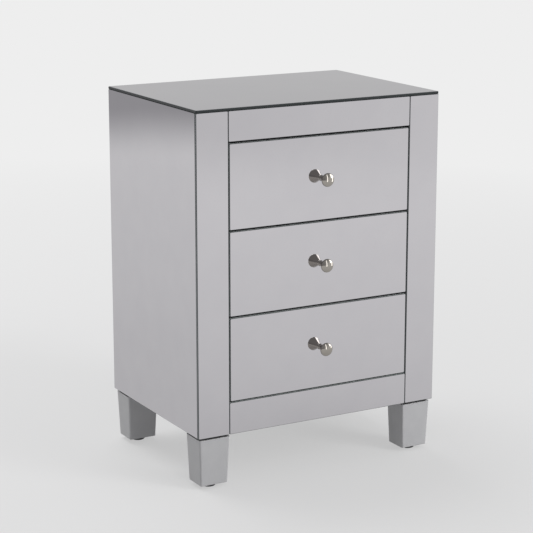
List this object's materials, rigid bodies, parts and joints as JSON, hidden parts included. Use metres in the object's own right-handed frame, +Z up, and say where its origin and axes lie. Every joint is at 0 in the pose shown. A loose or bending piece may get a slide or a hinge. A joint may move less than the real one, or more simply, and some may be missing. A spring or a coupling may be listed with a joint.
{
  "type": "nightstand",
  "caption": "Bedside cabinet faced with mirror glass on short tapered silver legs, its drawers sliding out on ball runners by round flared metal knobs.",
  "frame": {"origin": "on the floor, at the middle of the whole footprint, knobs included", "axes": "+Z up, -Y out of the drawer fronts, +X to the right seen from the front"},
  "size_m": [0.457, 0.352, 0.629],
  "materials": {
    "mirror_glass": "silvered float glass, polished face, ground edges",
    "painted_board": "fibreboard sprayed satin silver grey",
    "silver_lacquer": "hardwood in glossy silver lacquer",
    "birch_ply": "plywood, clear satin lacquer",
    "drawer_bottom_board": "thin plywood, clear satin lacquer",
    "pine": "planed softwood",
    "polished_nickel": "polished nickel plate",
    "zinc_steel": "bright zinc plate",
    "bearing_steel": "bright steel, lightly greased",
    "black_steel": "black painted steel plate",
    "nylon": "black nylon"
  },
  "bodies": {
    "cabinet": {"cabinet_screws": "zinc_steel", "back_panel_screws": "zinc_steel", "leg_front_left": "silver_lacquer", "leg_front_right": "silver_lacquer", "leg_back_left": "silver_lacquer", "leg_back_right": "silver_lacquer", "leg_plates": "black_steel", "leg_bolts": "zinc_steel", "foot_glides": "nylon", "top_board": "painted_board", "base_board": "painted_board", "back_panel": "painted_board", "side_board_left": "painted_board", "stile_left": "painted_board", "side_board_right": "painted_board", "stile_right": "painted_board", "top_rail": "painted_board", "bottom_rail": "painted_board", "top_mirror": "mirror_glass", "side_mirror_left": "mirror_glass", "stile_mirror_left": "mirror_glass", "side_mirror_right": "mirror_glass", "stile_mirror_right": "mirror_glass", "top_rail_mirror": "mirror_glass", "bottom_rail_mirror": "mirror_glass", "lower_cabinet_runners": "zinc_steel", "middle_cabinet_runners": "zinc_steel", "upper_cabinet_runners": "zinc_steel", "runner_battens": "pine", "runner_screws": "zinc_steel"},
    "upper_drawer": {"upper_drawer_front": "painted_board", "upper_drawer_mirror": "mirror_glass", "upper_drawer_bottom": "drawer_bottom_board", "upper_drawer_back": "birch_ply", "upper_drawer_knob": "polished_nickel", "upper_drawer_side_left": "birch_ply", "upper_drawer_side_right": "birch_ply", "upper_drawer_runners": "zinc_steel", "upper_drawer_screws": "zinc_steel"},
    "upper_ball_cages": {"upper_ball_cages": "bearing_steel"},
    "middle_drawer": {"middle_drawer_front": "painted_board", "middle_drawer_mirror": "mirror_glass", "middle_drawer_bottom": "drawer_bottom_board", "middle_drawer_back": "birch_ply", "middle_drawer_knob": "polished_nickel", "middle_drawer_side_left": "birch_ply", "middle_drawer_side_right": "birch_ply", "middle_drawer_runners": "zinc_steel", "middle_drawer_screws": "zinc_steel"},
    "middle_ball_cages": {"middle_ball_cages": "bearing_steel"},
    "lower_drawer": {"lower_drawer_front": "painted_board", "lower_drawer_mirror": "mirror_glass", "lower_drawer_bottom": "drawer_bottom_board", "lower_drawer_back": "birch_ply", "lower_drawer_knob": "polished_nickel", "lower_drawer_side_left": "birch_ply", "lower_drawer_side_right": "birch_ply", "lower_drawer_runners": "zinc_steel", "lower_drawer_screws": "zinc_steel"},
    "lower_ball_cages": {"lower_ball_cages": "bearing_steel"}
  },
  "joints": [
    {"name": "upper_drawer_slide", "type": "slide", "parent": "cabinet", "child": "upper_drawer", "axis": [0, -1, 0], "range_m": [0, 0.18]},
    {"name": "upper_cage_slide", "type": "slide", "parent": "cabinet", "child": "upper_ball_cages", "axis": [0, -1, 0], "range_m": [0, 0.09]},
    {"name": "middle_drawer_slide", "type": "slide", "parent": "cabinet", "child": "middle_drawer", "axis": [0, -1, 0], "range_m": [0, 0.18]},
    {"name": "middle_cage_slide", "type": "slide", "parent": "cabinet", "child": "middle_ball_cages", "axis": [0, -1, 0], "range_m": [0, 0.09]},
    {"name": "lower_drawer_slide", "type": "slide", "parent": "cabinet", "child": "lower_drawer", "axis": [0, -1, 0], "range_m": [0, 0.18]},
    {"name": "lower_cage_slide", "type": "slide", "parent": "cabinet", "child": "lower_ball_cages", "axis": [0, -1, 0], "range_m": [0, 0.09]}
  ],
  "couplings": [
    {"joint": "upper_cage_slide", "follows": "upper_drawer_slide", "ratio": 0.5},
    {"joint": "middle_cage_slide", "follows": "middle_drawer_slide", "ratio": 0.5},
    {"joint": "lower_cage_slide", "follows": "lower_drawer_slide", "ratio": 0.5}
  ]
}
